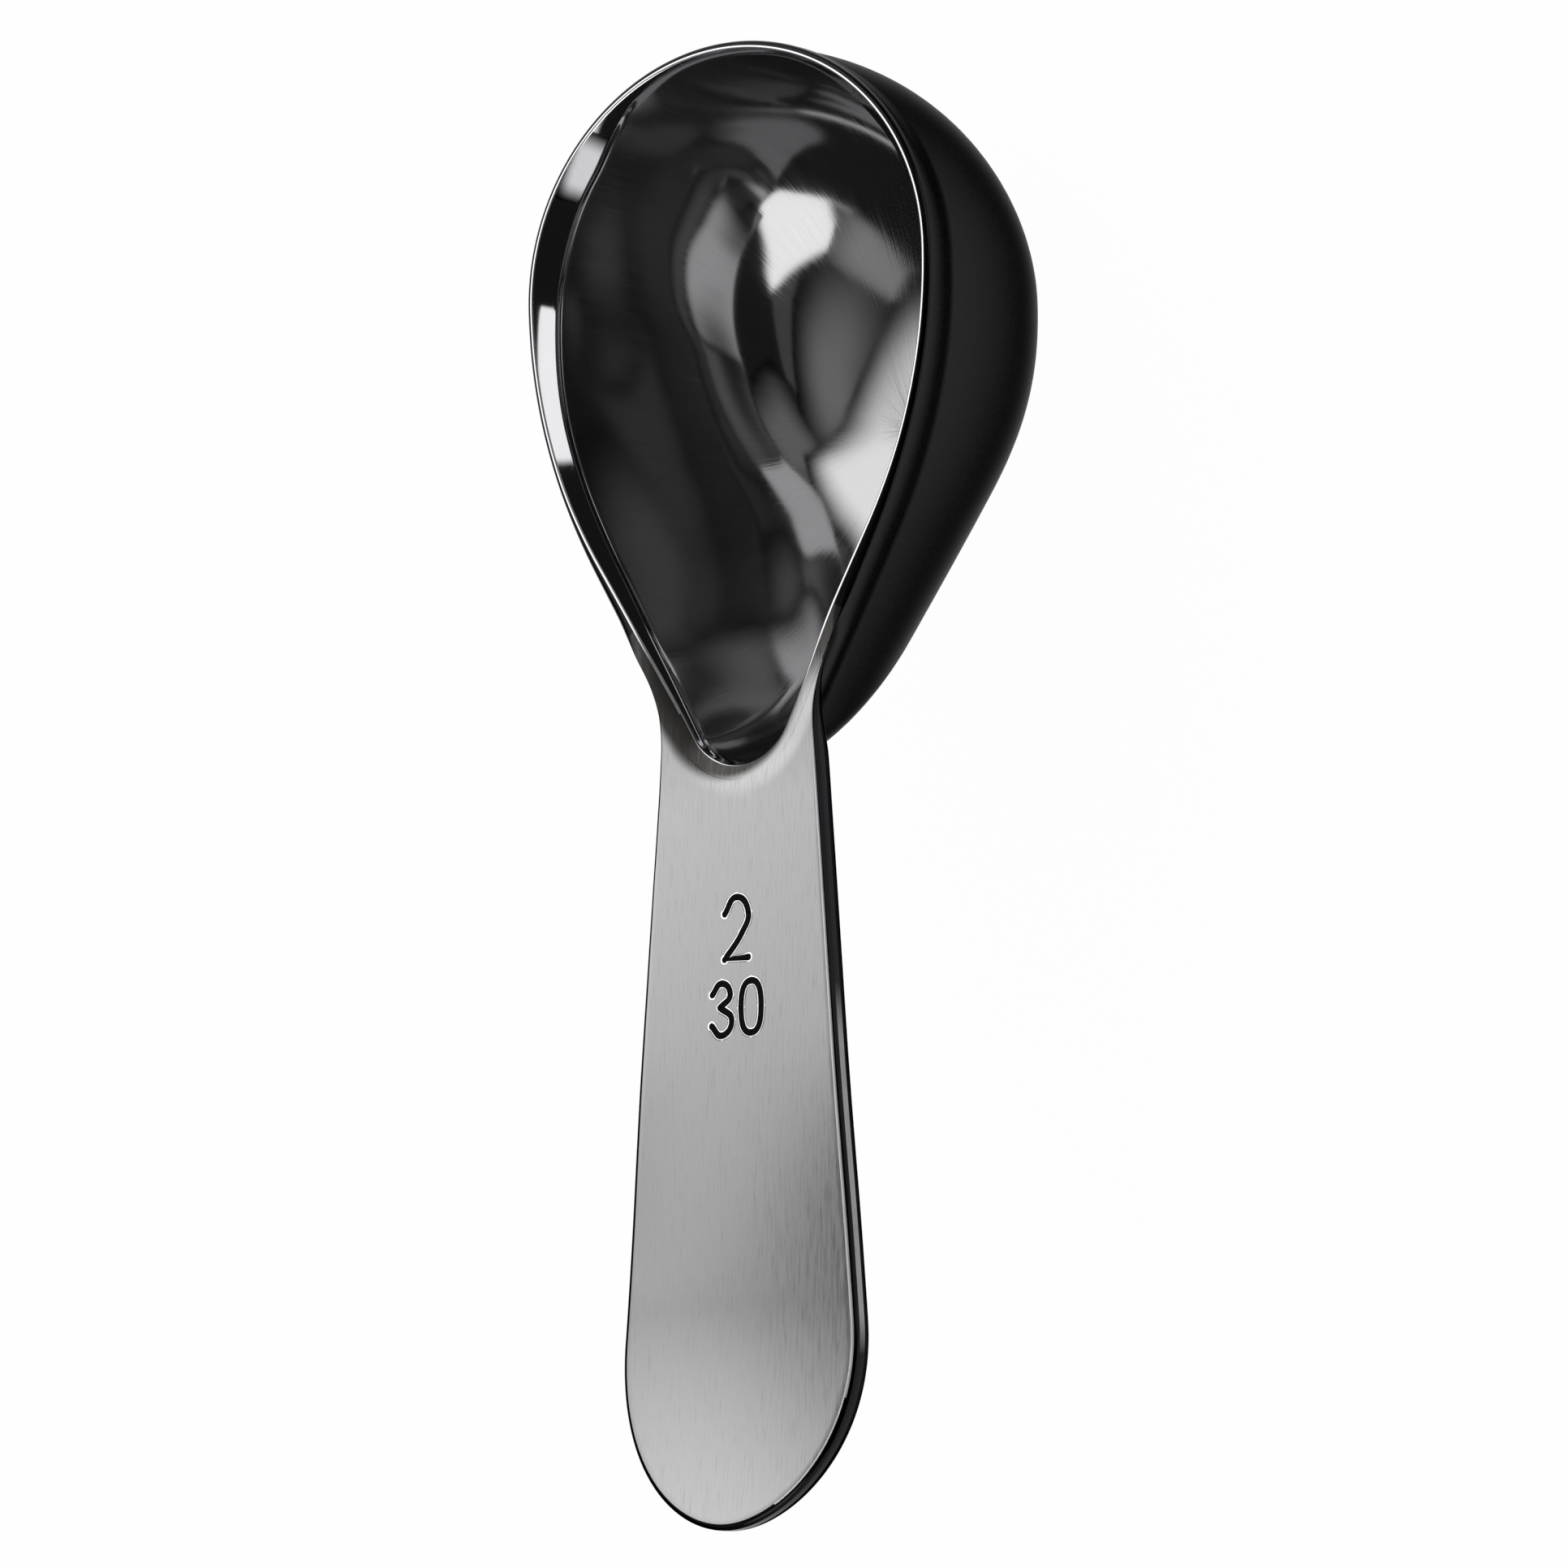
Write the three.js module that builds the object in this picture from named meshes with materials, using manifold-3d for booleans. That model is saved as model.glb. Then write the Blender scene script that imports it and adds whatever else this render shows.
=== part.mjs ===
// A coffee scoop in black-coated stainless steel: a deep drawn teardrop bowl with an upright collar,
// and a flat handle whose forked front end is butt-welded round the bowl's narrow tip.
// Millimetres, +Z up. The origin is the centre of the flat spot that the bowl rests on, +Y points to
// the bowl's rounded front and the handle runs out along -Y.
import * as THREE from "three";
import { mergeVertices } from "three/addons/utils/BufferGeometryUtils.js";
import Module from "manifold-3d";

const wasm = await Module();
wasm.setup();

// Bowl, seen from above
const BOWL_HALF_WIDTH = 20.4;
const WIDEST_Y = 6.0;
const FRONT_REACH = 19.3;
const SIDE_HALF_WIDTH = 14.0;
const SIDE_Y = -16.75;
const SIDE_ANGLE = THREE.MathUtils.degToRad(29.5);
const SIDE_TENSION = 8.2;
const TIP_RADIUS = 6.5;

// Bowl, seen from the side
const RIM_HEIGHT = 28.3;
const WALL = 0.9;
const RIM_ROUND = 0.35;
const COLLAR_STEP = 0.3;
const COLLAR_OUTSIDE = { front: 1.2, side: 3.2, tip: 1.9 };
const COLLAR_INSIDE = { front: 0.6, side: 2.7, tip: 0.6 };
const FULLNESS = { across: 2.4, front: 2.25, tip: 1.6 };
const FORWARD_SHIFT = 3.0;
const FLAT_SHARE = 0.985;

// Handle
const HANDLE_LENGTH = 64.5;
const HANDLE_THICKNESS = 2.0;
const HANDLE_RISE = THREE.MathUtils.degToRad(3.7);
const NECK_Y = -30.5;
const NECK_HALF_WIDTH = 7.7;
const END_HALF_WIDTH = 11.6;
const END_ROUND_LENGTH = 15.9;
const END_SHOULDER = 10.2;
const END_FLAT = 5.4;
const EDGE_ROUND = 0.45;
const ARM_REACH = 7.5;
const ARM_TAPER = 3.0;
const ARM_TIP_WIDTH = 0.3;
const ARM_HOLLOW = 1.6;
const JOINT_GAP = 0.3;

// Fineness of the facets
const AROUND = 112;
const DEPTH_STEPS = 9;
const CURVE_STEPS = 16;

const coatedMirror = new THREE.MeshStandardMaterial({ color: 0x2b2b2d, roughness: 0.16, metalness: 1 });
const coatedBrushed = new THREE.MeshStandardMaterial({ color: 0x8f8f91, roughness: 0.34, metalness: 1 });

// The bowl's tip is an arc that touches both straight sides.
const sideMeetY = SIDE_Y - SIDE_HALF_WIDTH / Math.tan(SIDE_ANGLE);
const tipCentreY = sideMeetY + TIP_RADIUS / Math.sin(SIDE_ANGLE);
const frontY = WIDEST_Y + FRONT_REACH;
const tipY = tipCentreY - TIP_RADIUS;
const middleY = 0.5 * (frontY + tipY);
const halfLength = 0.5 * (frontY - tipY);

// The bowl's outline from above, pushed out by a margin: tip arc, side, round front, side, tip arc.
function bowlOutline(margin) {
  const across = margin * Math.cos(SIDE_ANGLE);
  const along = margin * Math.sin(SIDE_ANGLE);
  const side = new THREE.Vector2(SIDE_HALF_WIDTH + across, SIDE_Y - along);
  const lean = new THREE.Vector2(Math.sin(SIDE_ANGLE), Math.cos(SIDE_ANGLE)).multiplyScalar(SIDE_TENSION);
  const half = BOWL_HALF_WIDTH + margin;
  const tip = TIP_RADIUS + margin;
  const outline = new THREE.Path();
  outline.moveTo(0, tipCentreY - tip);
  outline.absarc(0, tipCentreY, tip, -Math.PI / 2, -SIDE_ANGLE, false);
  outline.lineTo(side.x, side.y);
  outline.bezierCurveTo(side.x + lean.x, side.y + lean.y, half, WIDEST_Y - SIDE_TENSION, half, WIDEST_Y);
  outline.absellipse(0, WIDEST_Y, half, FRONT_REACH + margin, 0, Math.PI, false);
  outline.bezierCurveTo(-half, WIDEST_Y - SIDE_TENSION, -side.x - lean.x, side.y + lean.y, -side.x, side.y);
  outline.lineTo(-tip * Math.cos(SIDE_ANGLE), tipCentreY - tip * Math.sin(SIDE_ANGLE));
  outline.absarc(0, tipCentreY, tip, Math.PI + SIDE_ANGLE, 1.5 * Math.PI, false);
  return outline;
}

// A value that runs from the bowl's front over its side to its tip, read at a place along the bowl
// that is 1 at the front and -1 at the tip.
function roundTheBowl(values, along) {
  const end = along > 0 ? values.front : values.tip;
  return values.side + (end - values.side) * along * along;
}

// How far a level still reaches out, as a share of the top level, on a rounded wall that is upright
// at the top and level at the bottom. A fuller wall stays upright for longer.
function reachAt(share, fullness) {
  return (1 - share ** fullness) ** (1 / fullness);
}

// The rings of the bowl's skin from the flat underside up the outside, over the rim and down the
// inside. A ring stands inward of the outline by its inset. Above the collar's foot it has a drop
// below the rim, and under it a share of the way down from the collar to the flat.
function bowlRings() {
  const rings = [];
  const shares = [];
  for (let step = 0; step <= DEPTH_STEPS; step += 1) {
    shares.push(FLAT_SHARE * Math.sin((0.5 * Math.PI * step) / DEPTH_STEPS));
  }
  const outside = { collar: COLLAR_OUTSIDE, inset: COLLAR_STEP, floor: RIM_HEIGHT };
  const inside = { collar: COLLAR_INSIDE, inset: WALL, floor: RIM_HEIGHT - WALL };
  rings.push({ ...outside, share: FLAT_SHARE, centre: true });
  for (const share of [...shares].reverse()) {
    rings.push({ ...outside, share });
  }
  rings.push({ collar: COLLAR_OUTSIDE, inset: 0, foot: COLLAR_STEP });
  for (let step = 0; step <= 2; step += 1) {
    const turn = 0.25 * Math.PI * step;
    rings.push({ inset: RIM_ROUND * (1 - Math.cos(turn)), drop: RIM_ROUND * (1 - Math.sin(turn)) });
  }
  for (let step = 2; step >= 0; step -= 1) {
    const turn = 0.25 * Math.PI * step;
    rings.push({ inset: WALL - RIM_ROUND * (1 - Math.cos(turn)), drop: RIM_ROUND * (1 - Math.sin(turn)) });
  }
  for (const share of shares) {
    rings.push({ ...inside, share });
  }
  rings.push({ ...inside, share: FLAT_SHARE, centre: true });
  return rings;
}

// One point of the bowl's skin, for a ring and a place on the outline. Under the collar each level is
// the outline drawn in, more at the tip than at the front, and moved forward with depth.
function bowlPoint(ring, edge, outward) {
  const start = edge.clone().addScaledVector(outward, -ring.inset);
  if (ring.drop !== undefined) {
    return new THREE.Vector3(start.x, start.y, RIM_HEIGHT - ring.drop);
  }
  const along = (edge.y - middleY) / halfLength;
  const collar = roundTheBowl(ring.collar, along);
  if (ring.foot !== undefined) {
    return new THREE.Vector3(start.x, start.y, RIM_HEIGHT - collar + ring.foot);
  }
  const height = RIM_HEIGHT - collar - ((ring.floor - collar) * ring.share) / FLAT_SHARE;
  const shift = middleY + FORWARD_SHIFT * ring.share;
  if (ring.centre) {
    return new THREE.Vector3(0, shift, height);
  }
  const across = reachAt(ring.share, FULLNESS.across);
  const ahead = reachAt(ring.share, FULLNESS.front);
  const behind = reachAt(ring.share, FULLNESS.tip);
  const lengthwise = 0.5 * (ahead * (1 + along) + behind * (1 - along));
  return new THREE.Vector3(start.x * across, shift + (start.y - middleY) * lengthwise, height);
}

// The bowl: a round bowl turned on a lathe, then pushed out to the teardrop outline ring by ring.
function makeBowl() {
  const rings = bowlRings();
  const profile = rings.map((ring) => new THREE.Vector2(ring.centre ? 0 : BOWL_HALF_WIDTH - ring.inset, 0));
  const geometry = new THREE.LatheGeometry(profile, AROUND);
  const outline = bowlOutline(0);
  const places = geometry.getAttribute("position");
  for (let turn = 0; turn <= AROUND; turn += 1) {
    const where = (turn % AROUND) / AROUND;
    const edge = outline.getPointAt(where);
    const tangent = outline.getTangentAt(where);
    const outward = new THREE.Vector2(tangent.y, -tangent.x);
    rings.forEach((ring, index) => {
      const point = bowlPoint(ring, edge, outward);
      places.setXYZ(turn * rings.length + index, point.x, point.y, point.z);
    });
  }
  geometry.computeVertexNormals();
  const bowl = new THREE.Mesh(geometry, coatedMirror);
  bowl.name = "bowl";
  return bowl;
}

// The handle blank's outline from above: an arm each side of the bowl's tip, the neck's hollow curves,
// straight sides that spread towards the end, and the long rounded end.
function handleShape() {
  const endY = NECK_Y - HANDLE_LENGTH;
  const cornerY = endY + END_ROUND_LENGTH;
  const spread = new THREE.Vector2(END_HALF_WIDTH - NECK_HALF_WIDTH, cornerY - NECK_Y).normalize();
  const shoulder = new THREE.Vector2(END_HALF_WIDTH, cornerY).addScaledVector(spread, END_SHOULDER);
  const lean = new THREE.Vector2(Math.sin(SIDE_ANGLE), Math.cos(SIDE_ANGLE));
  const outward = new THREE.Vector2(lean.y, -lean.x).multiplyScalar(JOINT_GAP + ARM_TIP_WIDTH);
  const touch = new THREE.Vector2(0, sideMeetY).addScaledVector(lean, TIP_RADIUS / Math.tan(SIDE_ANGLE));
  const arm = touch.clone().addScaledVector(lean, ARM_REACH).add(outward);
  const root = arm.clone().addScaledVector(lean, -ARM_TAPER);
  const hollow = root.clone().addScaledVector(lean, -ARM_HOLLOW);
  const shape = new THREE.Shape();
  shape.moveTo(ARM_TAPER - arm.x, arm.y);
  shape.quadraticCurveTo(-arm.x, arm.y, -root.x, root.y);
  shape.bezierCurveTo(-hollow.x, hollow.y, -NECK_HALF_WIDTH, NECK_Y + ARM_HOLLOW, -NECK_HALF_WIDTH, NECK_Y);
  shape.lineTo(-END_HALF_WIDTH, cornerY);
  shape.bezierCurveTo(-shoulder.x, shoulder.y, -END_FLAT, endY, 0, endY);
  shape.bezierCurveTo(END_FLAT, endY, shoulder.x, shoulder.y, END_HALF_WIDTH, cornerY);
  shape.lineTo(NECK_HALF_WIDTH, NECK_Y);
  shape.bezierCurveTo(NECK_HALF_WIDTH, NECK_Y + ARM_HOLLOW, hollow.x, hollow.y, root.x, root.y);
  shape.quadraticCurveTo(arm.x, arm.y, arm.x - ARM_TAPER, arm.y);
  return shape;
}

// A closed geometry as a solid that can be cut.
function solidOf(geometry) {
  const bare = new THREE.BufferGeometry();
  bare.setAttribute("position", geometry.getAttribute("position"));
  bare.setIndex(geometry.getIndex());
  const merged = mergeVertices(bare, 1e-4);
  const vertProperties = merged.getAttribute("position").array;
  const triVerts = new Uint32Array(merged.getIndex().array);
  return new wasm.Manifold(new wasm.Mesh({ numProp: 3, vertProperties, triVerts }));
}

// A cut solid as a geometry again.
function geometryOf(solid) {
  const mesh = solid.getMesh();
  const geometry = new THREE.BufferGeometry();
  geometry.setAttribute("position", new THREE.BufferAttribute(mesh.vertProperties, mesh.numProp));
  geometry.setIndex(new THREE.BufferAttribute(mesh.triVerts, 1));
  geometry.computeVertexNormals();
  return geometry;
}

// The handle: a flat blank with softened edges, tipped up about the line where it leaves the bowl,
// and notched to go round the bowl's tip with the weld's gap.
function makeHandle() {
  const blank = new THREE.ExtrudeGeometry(handleShape(), {
    depth: HANDLE_THICKNESS - 2 * EDGE_ROUND,
    bevelThickness: EDGE_ROUND,
    bevelSize: EDGE_ROUND,
    bevelOffset: -EDGE_ROUND,
    bevelSegments: 3,
    curveSegments: CURVE_STEPS,
  });
  blank.translate(0, -NECK_Y, EDGE_ROUND - HANDLE_THICKNESS);
  blank.rotateX(-HANDLE_RISE);
  blank.translate(0, NECK_Y, RIM_HEIGHT);
  const around = new THREE.Shape(bowlOutline(JOINT_GAP).getSpacedPoints(AROUND));
  const notch = new THREE.ExtrudeGeometry(around, { depth: 2 * RIM_HEIGHT, bevelEnabled: false });
  const handle = new THREE.Mesh(geometryOf(solidOf(blank).subtract(solidOf(notch))), coatedBrushed);
  handle.name = "handle";
  return handle;
}

const scoop = new THREE.Group();
scoop.add(makeBowl(), makeHandle());

export default scoop;
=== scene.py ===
"""Dresses a coffee scoop: a deep drawn teardrop bowl with a flat brushed handle welded round its tip.

Metres, +Z up. The origin is the flat spot under the bowl, +Y points to the bowl's rounded front and
the handle runs out along -Y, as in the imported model.
"""

import bisect
import logging
import math
from dataclasses import dataclass, field
from enum import Enum

import bmesh
import bpy
from mathutils import Matrix, Vector


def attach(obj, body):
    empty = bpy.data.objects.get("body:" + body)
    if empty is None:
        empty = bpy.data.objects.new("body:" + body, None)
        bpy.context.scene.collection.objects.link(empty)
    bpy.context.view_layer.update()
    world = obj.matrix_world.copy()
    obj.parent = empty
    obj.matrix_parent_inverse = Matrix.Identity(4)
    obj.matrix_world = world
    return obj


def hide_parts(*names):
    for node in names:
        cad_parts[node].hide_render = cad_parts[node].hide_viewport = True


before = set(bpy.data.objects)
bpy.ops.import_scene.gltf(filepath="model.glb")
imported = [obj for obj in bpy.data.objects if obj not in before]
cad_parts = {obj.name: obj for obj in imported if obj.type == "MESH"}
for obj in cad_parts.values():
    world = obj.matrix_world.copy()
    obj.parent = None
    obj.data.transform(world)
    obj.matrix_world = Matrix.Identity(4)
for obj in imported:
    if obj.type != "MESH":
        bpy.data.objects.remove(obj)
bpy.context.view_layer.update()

MM = 0.001
IMAGE_PIXELS = 1932
SENSOR_WIDTH = 36.0
WALL_MAP = "wall"
PLAN_MAP = "plan"
# Where the colour darkens: painted shade round the bowl's tip, and the ends of the painted highlight band on
# the handle's edge.
DARKENING_MAP = "darkening"
WHITE = "#ffffff"
MERGE = 1e-7
# The Mix node's sockets for colours, which share their names with those for numbers.
MIX_SHARE, MIX_FIRST, MIX_SECOND, MIX_RESULT = 0, 6, 7, 2
log = logging.getLogger("coffee_scoop")


def linear(hex_colour: str) -> tuple[float, float, float, float]:
    """Turns an sRGB hex colour into linear values.

    Args:
        hex_colour: six hex digits, with or without a leading hash.

    Returns:
        Red, green and blue from 0 to 1, and an alpha of 1.
    """
    digits = hex_colour.lstrip("#")
    parts = [int(digits[i : i + 2], 16) / 255 for i in (0, 2, 4)]
    curve = [c / 12.92 if c <= 0.04045 else ((c + 0.055) / 1.055) ** 2.4 for c in parts]
    return (curve[0], curve[1], curve[2], 1.0)


def add_node(
    tree: bpy.types.NodeTree,
    kind: str,
    settings: dict | None = None,
    links: dict | None = None,
) -> bpy.types.Node:
    """Adds one node to a tree.

    Args:
        tree: the node tree that gets the node.
        kind: the node's type name.
        settings: values by input name or number, or by the node's own property name.
        links: output sockets by the name or number of the input that each one feeds.

    Returns:
        The new node.
    """
    node = tree.nodes.new(kind)
    for name, value in (settings or {}).items():
        if isinstance(name, int) or name in node.inputs:
            node.inputs[name].default_value = value
        else:
            setattr(node, name, value)
    for name, source in (links or {}).items():
        tree.links.new(source, node.inputs[name])
    return node


def new_material(name: str) -> tuple[bpy.types.Material, bpy.types.NodeTree]:
    """Makes a material with an empty node tree.

    Args:
        name: the material's name.

    Returns:
        The material and its tree.
    """
    made = bpy.data.materials.new(name)
    made.use_nodes = True
    made.node_tree.nodes.clear()
    return made, made.node_tree


def smooth_share(value: float, start: float, end: float) -> float:
    """Eases from 0 at start to 1 at end, level at both."""
    t = min(1.0, max(0.0, (value - start) / (end - start)))
    return t * t * (3 - 2 * t)


def bezier(a: Vector, b: Vector, c: Vector, d: Vector, steps: int) -> list[Vector]:
    """Points along a cubic curve.

    Args:
        a: where it starts.
        b: the start's pull.
        c: the end's pull.
        d: where it ends.
        steps: how many stretches it gets.

    Returns:
        The points, both ends among them.
    """
    points = []
    for step in range(steps + 1):
        t = step / steps
        u = 1 - t
        points.append(u**3 * a + 3 * u * u * t * b + 3 * u * t * t * c + t**3 * d)
    return points


def run_lengths(path: list[Vector]) -> list[float]:
    """Measures how far along a path each of its points lies.

    Args:
        path: the path's points.

    Returns:
        The lengths from the path's start.
    """
    lengths = [0.0]
    for a, b in zip(path, path[1:]):
        lengths.append(lengths[-1] + (b - a).length)
    return lengths


def locate(lengths: list[float], where: float) -> tuple[int, float]:
    """Finds the number of the point after a length, and the share of its stretch that is passed."""
    i = min(max(bisect.bisect_right(lengths, where), 1), len(lengths) - 1)
    return i, (where - lengths[i - 1]) / (lengths[i] - lengths[i - 1])


def even_points(path: list[Vector], count: int) -> list[Vector]:
    """Spreads points evenly along a path.

    Args:
        path: the path's corner points.
        count: how many points are wanted.

    Returns:
        The points, both ends among them.
    """
    lengths = run_lengths(path)
    points = []
    for step in range(count):
        i, share = locate(lengths, lengths[-1] * step / (count - 1))
        points.append(path[i - 1].lerp(path[i], share))
    return points


class Region(Enum):
    """A stretch of the bowl's skin with a finish of its own; the lip's is a painted highlight."""

    OUTSIDE = 0
    EDGE = 1
    LIP = 2
    LEDGE = 3
    INSIDE = 4
    BRUSHED_TIP = 5


class Zone(Enum):
    """A stretch of the handle's skin with a finish of its own; the corner's and the band's are painted
    highlights.
    """

    FACE = 0
    EDGE = 1
    HIGHLIGHT_CORNER = 2
    BAND = 3


class Stretch(Enum):
    """How a ring of the bowl's skin finds its place."""

    WALL = "wall"
    FOOT = "foot of the collar"
    EDGE = "outer rounding"
    LIP = "inner rounding"
    BEND = "bend under the ledge"


@dataclass(frozen=True)
class Stroke:
    """One pen stroke of a number, in a box that is 1 wide and 1 high."""

    points: tuple[tuple[float, float], ...]
    corners: tuple[int, ...] = ()
    closed: bool = False


class Digit(Enum):
    """A plain number in round pen strokes."""

    NOUGHT = (Stroke(((0.5, 1.0), (0.0, 0.5), (0.5, 0.0), (1.0, 0.5)), closed=True),)
    TWO = (
        Stroke(((0.0, 0.74), (0.5, 1.0), (1.0, 0.73), (0.72, 0.4), (0.0, 0.0), (1.0, 0.0)), corners=(4, 5)),
    )
    THREE = (
        Stroke(((0.03, 0.8), (0.5, 1.0), (0.92, 0.77), (0.42, 0.54))),
        Stroke(((0.42, 0.54), (1.0, 0.28), (0.5, 0.0), (0.0, 0.2))),
    )


@dataclass(frozen=True)
class Finish:
    """A metal finish with fine brushing, as a Principled material.

    The brushing is a stretched noise: it varies the colour and the roughness, and stands up as a very low
    relief. With a darkened colour, it dies out in ragged streaks where the darkening map nears 1: into
    painted shade on the handle's face, and into the edge's black beyond the painted highlight band.
    """

    name: str
    colour: str
    streak_colour: str
    roughness: float
    roughness_spread: float = 0.03
    streak_width: float = 0.3 * MM
    streak_length: float = 4 * MM
    relief: float = 0.0003 * MM
    anisotropy: float = 0.0
    metallic: float = 1.0
    edge_tint: str = WHITE
    map_name: str = ""
    # The darker colour that the brushing dies out into: painted shade on the handle's face, and the edge's
    # black beyond the painted highlight band.
    darkened_colour: str = ""
    ragged: float = 0.5
    noise_detail: float = 3.0
    noise_roughness: float = 0.6
    noise_range: tuple[float, float] = (0.3, 0.7)

    def material(self) -> bpy.types.Material:
        """Builds the material.

        Returns:
            The new material.
        """
        made, tree = new_material(self.name)
        stretch = (1 / self.streak_width, 1 / self.streak_length, 1 / self.streak_length)
        if self.map_name:
            place = add_node(tree, "ShaderNodeUVMap", {"uv_map": self.map_name}).outputs["UV"]
        else:
            place = add_node(tree, "ShaderNodeTexCoord").outputs["Object"]
        mapped = add_node(tree, "ShaderNodeMapping", {"Scale": stretch}, {"Vector": place}).outputs["Vector"]
        streaks = add_node(
            tree,
            "ShaderNodeTexNoise",
            {"Scale": 1.0, "Detail": self.noise_detail, "Roughness": self.noise_roughness},
            {"Vector": mapped},
        ).outputs["Fac"]
        colour = add_node(
            tree,
            "ShaderNodeMix",
            {"data_type": "RGBA", MIX_FIRST: linear(self.colour), MIX_SECOND: linear(self.streak_colour)},
            {MIX_SHARE: streaks},
        ).outputs[MIX_RESULT]
        if self.darkened_colour:
            colour = self.fade(tree, colour, streaks)
        low, high = self.noise_range
        spread = {
            "From Min": low,
            "From Max": high,
            "To Min": self.roughness - self.roughness_spread,
            "To Max": self.roughness + self.roughness_spread,
        }
        gloss = add_node(tree, "ShaderNodeMapRange", spread, {"Value": streaks}).outputs["Result"]
        relief = add_node(
            tree, "ShaderNodeBump", {"Strength": 1.0, "Distance": self.relief}, {"Height": streaks}
        ).outputs["Normal"]
        shader = add_node(
            tree,
            "ShaderNodeBsdfPrincipled",
            {
                "Metallic": self.metallic,
                "Anisotropic": self.anisotropy,
                "Specular Tint": linear(self.edge_tint),
            },
            {"Base Color": colour, "Roughness": gloss, "Normal": relief},
        )
        if self.anisotropy:
            across = add_node(tree, "ShaderNodeTangent", {"direction_type": "UV_MAP", "uv_map": PLAN_MAP})
            tree.links.new(across.outputs["Tangent"], shader.inputs["Tangent"])
        add_node(tree, "ShaderNodeOutputMaterial", None, {"Surface": shader.outputs["BSDF"]})
        return made

    def fade(
        self, tree: bpy.types.NodeTree, colour: bpy.types.NodeSocket, streaks: bpy.types.NodeSocket
    ) -> bpy.types.NodeSocket:
        """Lets the brushed colour die out into the darkened one: painted shade on the handle's face, and the
        edge's black beyond the painted highlight band.

        Args:
            tree: the material's tree.
            colour: the brushed colour.
            streaks: the brushing, which makes the border ragged.

        Returns:
            The faded colour.
        """
        darkening = add_node(tree, "ShaderNodeAttribute", {"attribute_name": DARKENING_MAP}).outputs["Fac"]
        border = add_node(
            tree, "ShaderNodeMath", {"operation": "MULTIPLY_ADD", 1: self.ragged}, {0: streaks, 2: darkening}
        ).outputs[0]
        middle = 0.5 * self.ragged
        share = add_node(
            tree, "ShaderNodeMapRange", {"From Min": middle, "From Max": 1 + middle}, {"Value": border}
        ).outputs["Result"]
        return add_node(
            tree,
            "ShaderNodeMix",
            {"data_type": "RGBA", MIX_SECOND: linear(self.darkened_colour)},
            {MIX_SHARE: share, MIX_FIRST: colour},
        ).outputs[MIX_RESULT]


# Stainless steel with a thin black coat over a fine polish: deep black where it mirrors the dark room, soft
# grey where it mirrors a lamp, with faint polishing lines. A slight haze in the coat lifts the blacks.
POLISHED_INSIDE = Finish(
    "black_coated_steel_polished",
    colour="#969697",
    streak_colour="#a8a8a9",
    roughness=0.09,
    roughness_spread=0.04,
    streak_width=0.22 * MM,
    streak_length=7 * MM,
    relief=0.0024 * MM,
    metallic=0.96,
    map_name=WALL_MAP,
)
# The same coat over a mirror polish on the ledge inside the rim: lamps show in it with sharp edges.
MIRROR_LEDGE = Finish(
    "black_coated_steel_mirror_polished",
    colour="#acacae",
    streak_colour="#b4b4b6",
    roughness=0.05,
    roughness_spread=0.01,
    streak_width=0.35 * MM,
    streak_length=6 * MM,
)
# The rim's inner edge, painted much lighter than the black coat: a painted highlight, a thin bright line of
# light along the rim.
PAINTED_HIGHLIGHT_LIP = Finish(
    "black_coated_steel_painted_highlight_lip", colour="#c4c4c7", streak_colour="#d0d0d3", roughness=0.16
)
# The coat on the rim's outer half: glossy black.
GLOSSY_RIM = Finish("black_coated_steel_gloss", colour="#1e1e20", streak_colour="#242426", roughness=0.2)
# The coat over a bead-blasted outside: an even satin black that stays dark where it turns away.
SATIN_OUTSIDE = Finish(
    "black_coated_steel_satin",
    colour="#2c2c2c",
    streak_colour="#343434",
    roughness=0.36,
    streak_length=0.3 * MM,
    relief=0.0008 * MM,
    edge_tint="#9c9c9c",
)
# The handle's face, brushed lengthwise: grey with fine lines, and light smeared across it. The brushing is
# drawn coarser than the real one, so that it shows, and round the bowl's tip it dies out into painted shade:
# a darker colour where the face rolls down into the bowl, more on the left.
BRUSHED_FACE = Finish(
    "black_coated_steel_brushed",
    colour="#6a6a6b",
    streak_colour="#bababa",
    roughness=0.22,
    roughness_spread=0.05,
    streak_width=0.15 * MM,
    streak_length=2.4 * MM,
    relief=0.0016 * MM,
    anisotropy=0.7,
    # painted shade round the bowl's tip
    darkened_colour="#3a3836",
)
# The handle's edge, tumbled smooth: glossy black roundings with thin glints.
POLISHED_EDGE = Finish(
    "black_coated_steel_tumbled_edge",
    colour="#1c1c1e",
    streak_colour="#262628",
    roughness=0.16,
    streak_length=5 * MM,
    relief=0.0005 * MM,
    edge_tint="#8a8a8c",
)
# The sheared middle of that edge, with a painted highlight: a soft grey band between the black roundings,
# which dies out into black towards the neck and at the end.
PAINTED_HIGHLIGHT_BAND = Finish(
    "black_coated_steel_painted_highlight_band",
    colour="#6e6c6a",
    streak_colour="#a6a4a2",
    roughness=0.3,
    roughness_spread=0.05,
    streak_length=5 * MM,
    relief=0.0005 * MM,
    darkened_colour="#1c1c1e",
)
# A painted highlight along the handle's right corner: a thin, matt, bright line.
PAINTED_HIGHLIGHT_CORNER = Finish(
    "painted_highlight_corner",
    colour="#f2f2f4",
    streak_colour="#fafafc",
    roughness=0.45,
    roughness_spread=0.05,
    streak_width=0.2 * MM,
    streak_length=3 * MM,
    relief=0.0005 * MM,
)
# Laser-blackened steel in the numbers: a dull, even black.
BLACK_MARK = Finish(
    "laser_blackened_steel",
    colour="#0c0c0c",
    streak_colour="#161616",
    roughness=0.5,
    roughness_spread=0.05,
    streak_width=0.1 * MM,
    streak_length=0.1 * MM,
    relief=0.001 * MM,
)
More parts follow.
